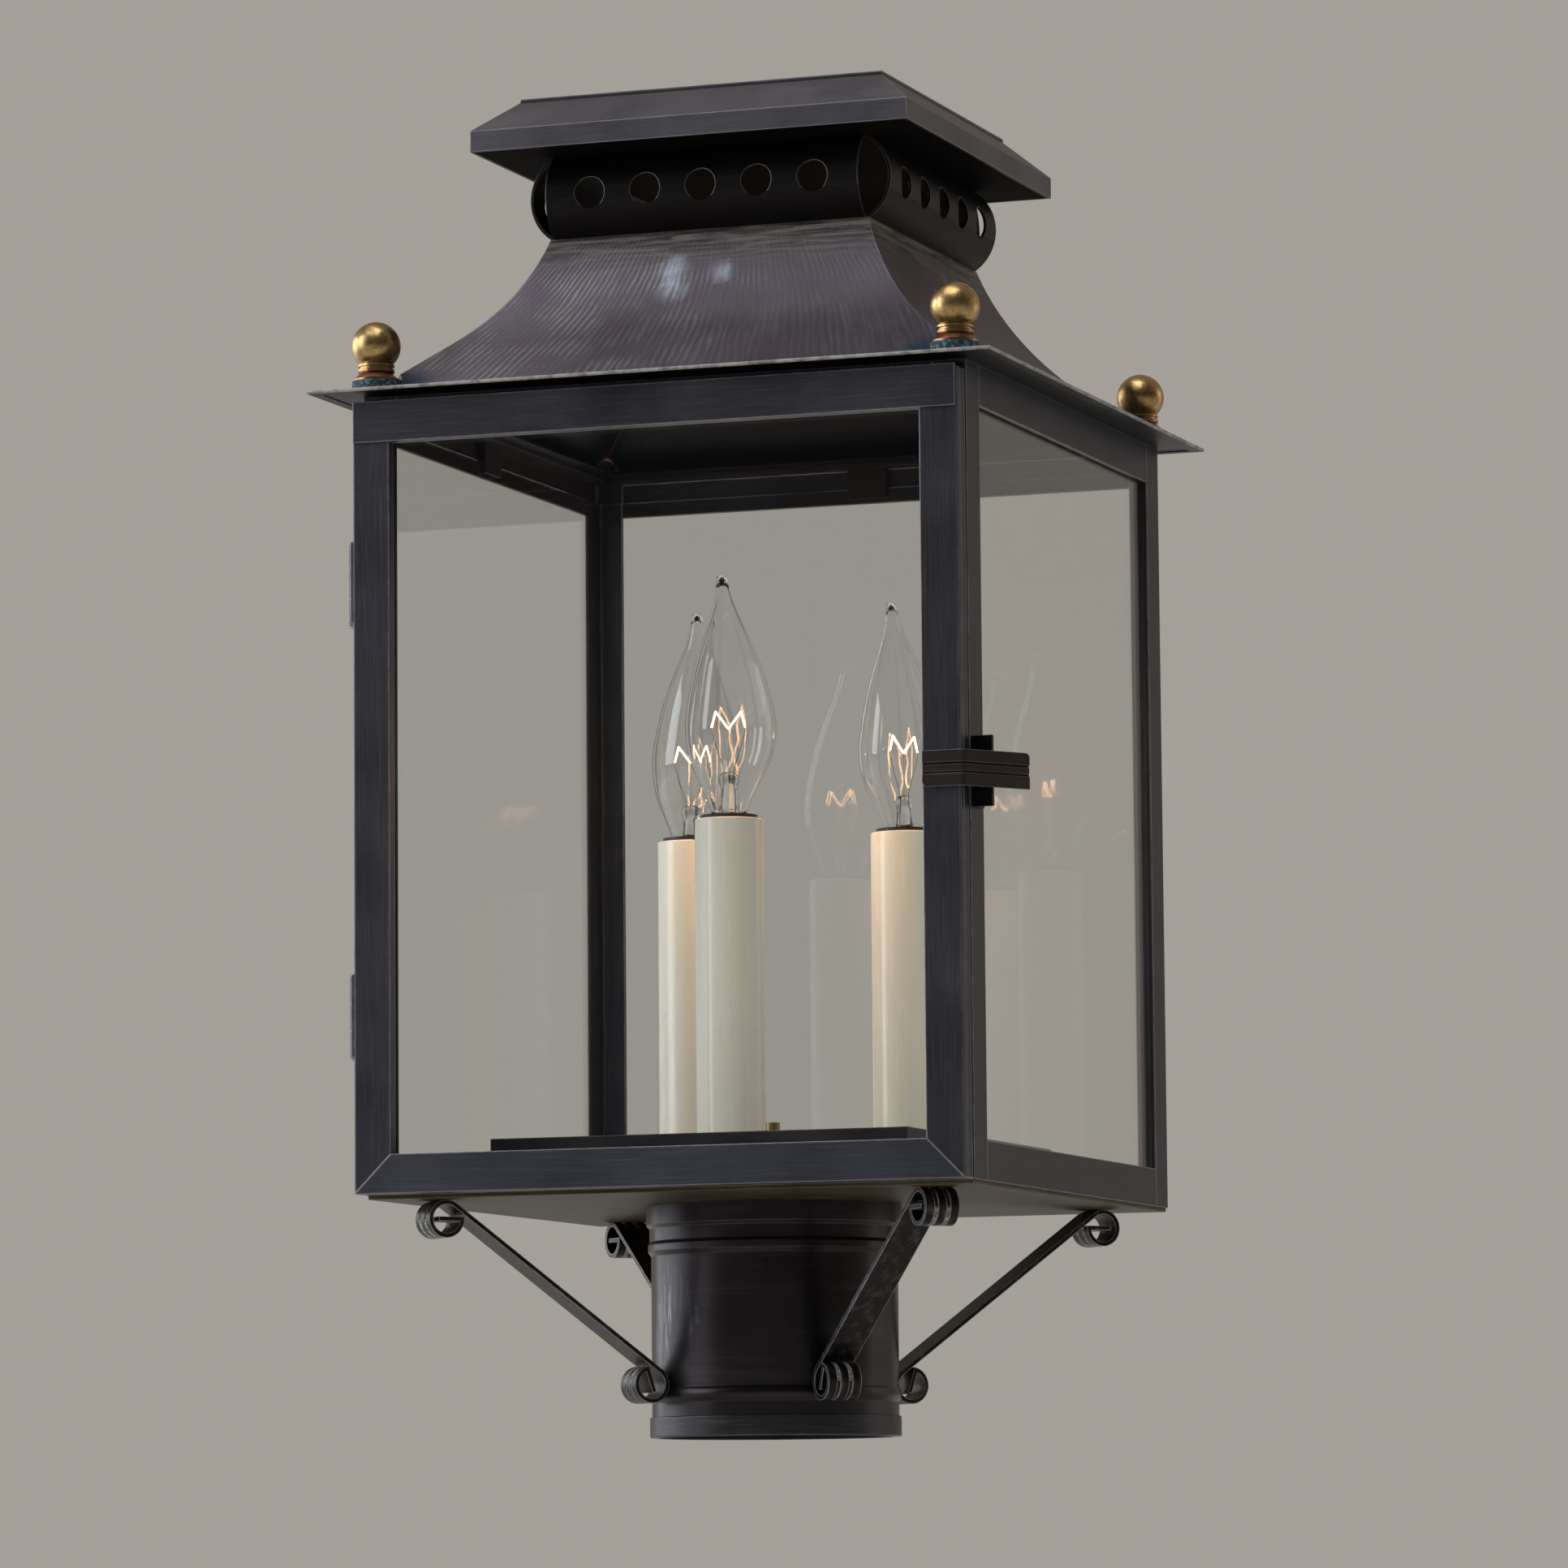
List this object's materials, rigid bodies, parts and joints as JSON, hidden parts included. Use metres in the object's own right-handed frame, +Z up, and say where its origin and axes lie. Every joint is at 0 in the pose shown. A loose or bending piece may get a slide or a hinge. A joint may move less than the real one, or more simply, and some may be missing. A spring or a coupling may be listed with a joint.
{
  "type": "post top lantern",
  "caption": "Square glazed post top lantern with a hinged overlay door, spring latch, vented flared roof, ball finials, scroll brackets and a candle cluster.",
  "frame": {"origin": "on the post's axis at the fitter's lower edge", "axes": "+Z up along the post; the door faces -Y; +X is to the right seen from the front"},
  "size_m": [0.2325, 0.2296, 0.4327],
  "materials": {
    "frame_metal": "aged dark bronze, semi-matt",
    "door_metal": "aged dark bronze, semi-matt",
    "spring_metal": "aged dark bronze, worn",
    "pan_metal": "aged bronze, warm brown",
    "fitter_metal": "aged dark bronze, satin",
    "scroll_metal": "aged dark bronze, satin",
    "steel": "dark steel",
    "glass": "clear float glass",
    "plate_metal": "aged dark bronze",
    "roof_metal": "aged copper, purple-brown",
    "vent_metal": "near-black, smooth",
    "cap_metal": "aged bronze, grey-mauve",
    "aged_brass": "aged brass",
    "verdigris_brass": "brass with verdigris",
    "tray_metal": "dark bronze",
    "nut_brass": "brass",
    "socket_plastic": "black phenolic",
    "candle_ivory": "ivory, glossy",
    "bulb_glass": "clear, thin",
    "bulb_brass": "thin brass",
    "filament": "tungsten wire on a glass stem"
  },
  "bodies": {
    "lantern": {"corner_post_front_left": "frame_metal", "corner_post_back_left": "frame_metal", "corner_post_front_right": "frame_metal", "corner_post_back_right": "frame_metal", "bottom_rails_side": "frame_metal", "bottom_rails_front_back": "frame_metal", "top_rails_side": "frame_metal", "top_rails_front_back": "frame_metal", "pane_clips": "frame_metal", "catch_plate": "frame_metal", "hinge_leaves_body": "frame_metal", "base_pan": "pan_metal", "fitter_sleeve": "fitter_metal", "fitter_band": "fitter_metal", "scroll_bracket_front_left": "scroll_metal", "scroll_bracket_back_left": "scroll_metal", "scroll_bracket_front_right": "scroll_metal", "scroll_bracket_back_right": "scroll_metal", "set_screws": "steel", "hinge_pins": "steel", "pane_left": "glass", "pane_right": "glass", "pane_back": "glass", "roof_plate": "plate_metal", "roof_skirt": "roof_metal", "vent_front": "vent_metal", "vent_right": "vent_metal", "vent_back": "vent_metal", "vent_left": "vent_metal", "cap_shell": "cap_metal", "cap_panel": "cap_metal", "cap_soffit": "cap_metal", "corner_finials": "aged_brass", "finial_washers": "verdigris_brass", "wiring_cover": "tray_metal", "centre_stud": "nut_brass", "centre_nut": "nut_brass", "socket_stems": "nut_brass", "lamp_sockets": "socket_plastic", "candle_sleeve_1": "candle_ivory", "candle_sleeve_2": "candle_ivory", "candle_sleeve_3": "candle_ivory"},
    "door": {"door_stile_left": "door_metal", "door_stile_right": "door_metal", "door_rail_bottom": "door_metal", "door_rail_top": "door_metal", "door_clips": "door_metal", "hinge_leaves_door": "door_metal", "door_pane": "glass"},
    "latch": {"latch_strap": "spring_metal", "latch_rivets": "steel"},
    "bulb_1": {"bulb_1_base": "bulb_brass", "bulb_1_glass": "bulb_glass", "bulb_1_filament": "filament"},
    "bulb_2": {"bulb_2_base": "bulb_brass", "bulb_2_glass": "bulb_glass", "bulb_2_filament": "filament"},
    "bulb_3": {"bulb_3_base": "bulb_brass", "bulb_3_glass": "bulb_glass", "bulb_3_filament": "filament"}
  },
  "joints": [
    {"name": "door_swing", "type": "hinge", "parent": "lantern", "child": "door", "pos_m": [-0.104, -0.1006, 0.2019], "axis": [0, 0, -1], "range_deg": [0, 170]},
    {"name": "latch_spring", "type": "hinge", "parent": "door", "child": "latch", "pos_m": [0.0922, -0.1087, 0.2025], "axis": [0, 0, -1], "range_deg": [0, 5], "stiffness_Nm_per_rad": 0.2},
    {"name": "bulb_1_unscrew", "type": "hinge", "parent": "lantern", "child": "bulb_1", "pos_m": [0, -0.0387, 0.2], "axis": [0, 0, 1], "range_deg": [0, 1080]},
    {"name": "bulb_2_unscrew", "type": "hinge", "parent": "lantern", "child": "bulb_2", "pos_m": [0.03733, 0.02595, 0.2], "axis": [0, 0, 1], "range_deg": [0, 1080]},
    {"name": "bulb_3_unscrew", "type": "hinge", "parent": "lantern", "child": "bulb_3", "pos_m": [-0.03733, 0.02595, 0.2], "axis": [0, 0, 1], "range_deg": [0, 1080]}
  ]
}
